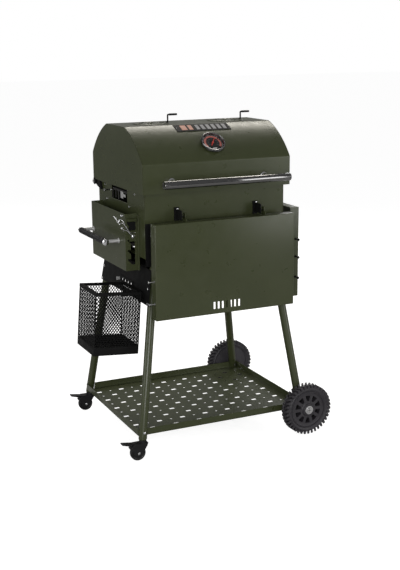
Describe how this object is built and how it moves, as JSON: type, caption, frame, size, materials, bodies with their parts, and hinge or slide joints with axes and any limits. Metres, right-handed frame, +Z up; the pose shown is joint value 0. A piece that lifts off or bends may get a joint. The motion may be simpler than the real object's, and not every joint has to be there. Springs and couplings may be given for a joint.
{
  "type": "charcoal grill cart",
  "caption": "Charcoal grill with a hinged barrel lid, lid thermometer, lifting charcoal tray, folding shelves and a wire basket on a splayed-leg cart with wheels and casters.",
  "frame": {"origin": "On the ground under the centre of the overall bounding box.", "axes": "+Z is up. The front, with the lid handle and the thermometer, faces -Y. +X is the cart's right-hand end as seen from the front, with the two large wheels and the side shelf; the basket and the charcoal lift are at -X."},
  "size_m": [0.8254, 0.6468, 1.103],
  "materials": {
    "olive_paint": "satin olive green enamel on sheet steel",
    "black_paint": "satin black enamel on sheet steel and wire",
    "chrome": "bright chrome plate",
    "steel": "plain zinc plated or brushed steel",
    "cast_iron": "dark seasoned cast iron",
    "black_plastic": "matte black moulded plastic",
    "wheel_plastic": "matte dark grey moulded plastic",
    "dial_face": "black printed dial",
    "needle_red": "red painted pointer"
  },
  "bodies": {
    "cart": {"leg_front_left": "olive_paint", "leg_front_right": "olive_paint", "leg_rear_left": "olive_paint", "leg_rear_right": "olive_paint", "bottom_shelf": "olive_paint", "axle_front": "chrome", "axle_rear": "chrome", "end_panel_left": "black_paint", "end_panel_right": "black_paint", "lower_fire_box": "black_paint", "firebox_end_left": "olive_paint", "firebox_end_right": "olive_paint", "firebox_front": "olive_paint", "firebox_rear": "olive_paint", "cooking_grate_left": "cast_iron", "cooking_grate_right": "cast_iron", "lift_guide_front": "olive_paint", "lift_guide_rear": "olive_paint", "lift_pin_front": "chrome", "lift_pin_rear": "chrome", "lift_clip": "chrome", "front_shelf_bracket_left": "black_paint", "front_shelf_bracket_right": "black_paint", "side_shelf_bracket_front": "black_paint", "side_shelf_bracket_rear": "black_paint", "side_basket": "black_paint", "lid_hinge_left": "black_paint", "lid_hinge_right": "black_paint"},
    "lid": {"lid_shell": "olive_paint", "lid_end_left": "olive_paint", "lid_end_right": "olive_paint", "lid_handle": "chrome", "lid_handle_post_left": "chrome", "lid_handle_post_right": "chrome", "thermometer_case": "steel", "thermometer_dial": "dial_face", "badge_plate": "steel"},
    "needle": {"thermometer_needle": "needle_red"},
    "vent_left": {"vent_disc_left": "olive_paint", "vent_grip_left": "black_plastic"},
    "vent_right": {"vent_disc_right": "olive_paint", "vent_grip_right": "black_plastic"},
    "lift": {"lift_box": "olive_paint", "charcoal_tray": "steel", "lift_handle": "chrome", "lift_grip": "black_plastic"},
    "front_shelf_body": {"front_shelf": "olive_paint"},
    "side_shelf_body": {"side_shelf": "olive_paint"},
    "damper": {"air_damper": "black_paint"},
    "ash_drawer": {"ash_pan": "steel"},
    "big_wheel_front": {"tyre_front": "wheel_plastic", "wheel_front": "wheel_plastic"},
    "big_wheel_rear": {"tyre_rear": "wheel_plastic", "wheel_rear": "wheel_plastic"},
    "caster_front": {"caster_housing_front": "black_plastic"},
    "caster_rear": {"caster_housing_rear": "black_plastic"},
    "caster_roller_front": {"caster_wheel_front": "black_plastic"},
    "caster_roller_rear": {"caster_wheel_rear": "black_plastic"},
    "pedal_front": {"brake_pedal_front": "black_plastic"},
    "pedal_rear": {"brake_pedal_rear": "black_plastic"}
  },
  "joints": [
    {"name": "lid_hinge", "type": "hinge", "parent": "cart", "child": "lid", "pos_m": [0.02071, 0.222, 0.862], "axis": [-1, 0, 0], "range_deg": [0, 85]},
    {"name": "thermometer_needle_turn", "type": "hinge", "parent": "lid", "child": "needle", "pos_m": [0.02071, -0.19014, 1.01797], "axis": [0, -0.6571, 0.7538], "range_deg": [-100, 165], "stiffness_Nm_per_rad": 0.0005},
    {"name": "vent_turn_left", "type": "hinge", "parent": "lid", "child": "vent_left", "pos_m": [-0.11679, 0, 1.072], "axis": [0, 0, 1], "range_deg": [0, 30]},
    {"name": "vent_turn_right", "type": "hinge", "parent": "lid", "child": "vent_right", "pos_m": [0.15821, 0, 1.072], "axis": [0, 0, 1], "range_deg": [0, 30]},
    {"name": "charcoal_lift", "type": "slide", "parent": "cart", "child": "lift", "axis": [0, 0, 1], "range_m": [0, 0.062]},
    {"name": "front_shelf_fold", "type": "hinge", "parent": "cart", "child": "front_shelf_body", "pos_m": [0.02071, -0.25, 0.794], "axis": [-1, 0, 0], "range_deg": [0, 90]},
    {"name": "side_shelf_fold", "type": "hinge", "parent": "cart", "child": "side_shelf_body", "pos_m": [0.31051, 0, 0.794], "axis": [0, -1, 0], "range_deg": [0, 90]},
    {"name": "damper_slide", "type": "slide", "parent": "cart", "child": "damper", "axis": [0, 1, 0], "range_m": [0, 0.013]},
    {"name": "ash_pan_slide", "type": "slide", "parent": "cart", "child": "ash_drawer", "axis": [0, 1, 0], "range_m": [0, 0.2]},
    {"name": "wheel_spin_front", "type": "hinge", "parent": "cart", "child": "big_wheel_front", "pos_m": [0.32371, -0.281, 0.089], "axis": [0, 1, 0], "continuous": true},
    {"name": "caster_swivel_front", "type": "hinge", "parent": "cart", "child": "caster_front", "pos_m": [-0.27719, -0.2638, 0.07], "axis": [0, 0, 1], "continuous": true},
    {"name": "caster_roll_front", "type": "hinge", "parent": "caster_front", "child": "caster_roller_front", "pos_m": [-0.29589, -0.2638, 0.026], "axis": [0, 1, 0], "continuous": true},
    {"name": "pedal_press_front", "type": "hinge", "parent": "caster_front", "child": "pedal_front", "pos_m": [-0.31729, -0.2638, 0.0575], "axis": [0, -1, 0], "range_deg": [0, 18]},
    {"name": "wheel_spin_rear", "type": "hinge", "parent": "cart", "child": "big_wheel_rear", "pos_m": [0.32371, 0.281, 0.089], "axis": [0, 1, 0], "continuous": true},
    {"name": "caster_swivel_rear", "type": "hinge", "parent": "cart", "child": "caster_rear", "pos_m": [-0.27719, 0.2638, 0.07], "axis": [0, 0, 1], "continuous": true},
    {"name": "caster_roll_rear", "type": "hinge", "parent": "caster_rear", "child": "caster_roller_rear", "pos_m": [-0.29589, 0.2638, 0.026], "axis": [0, 1, 0], "continuous": true},
    {"name": "pedal_press_rear", "type": "hinge", "parent": "caster_rear", "child": "pedal_rear", "pos_m": [-0.31729, 0.2638, 0.0575], "axis": [0, -1, 0], "range_deg": [0, 18]}
  ]
}
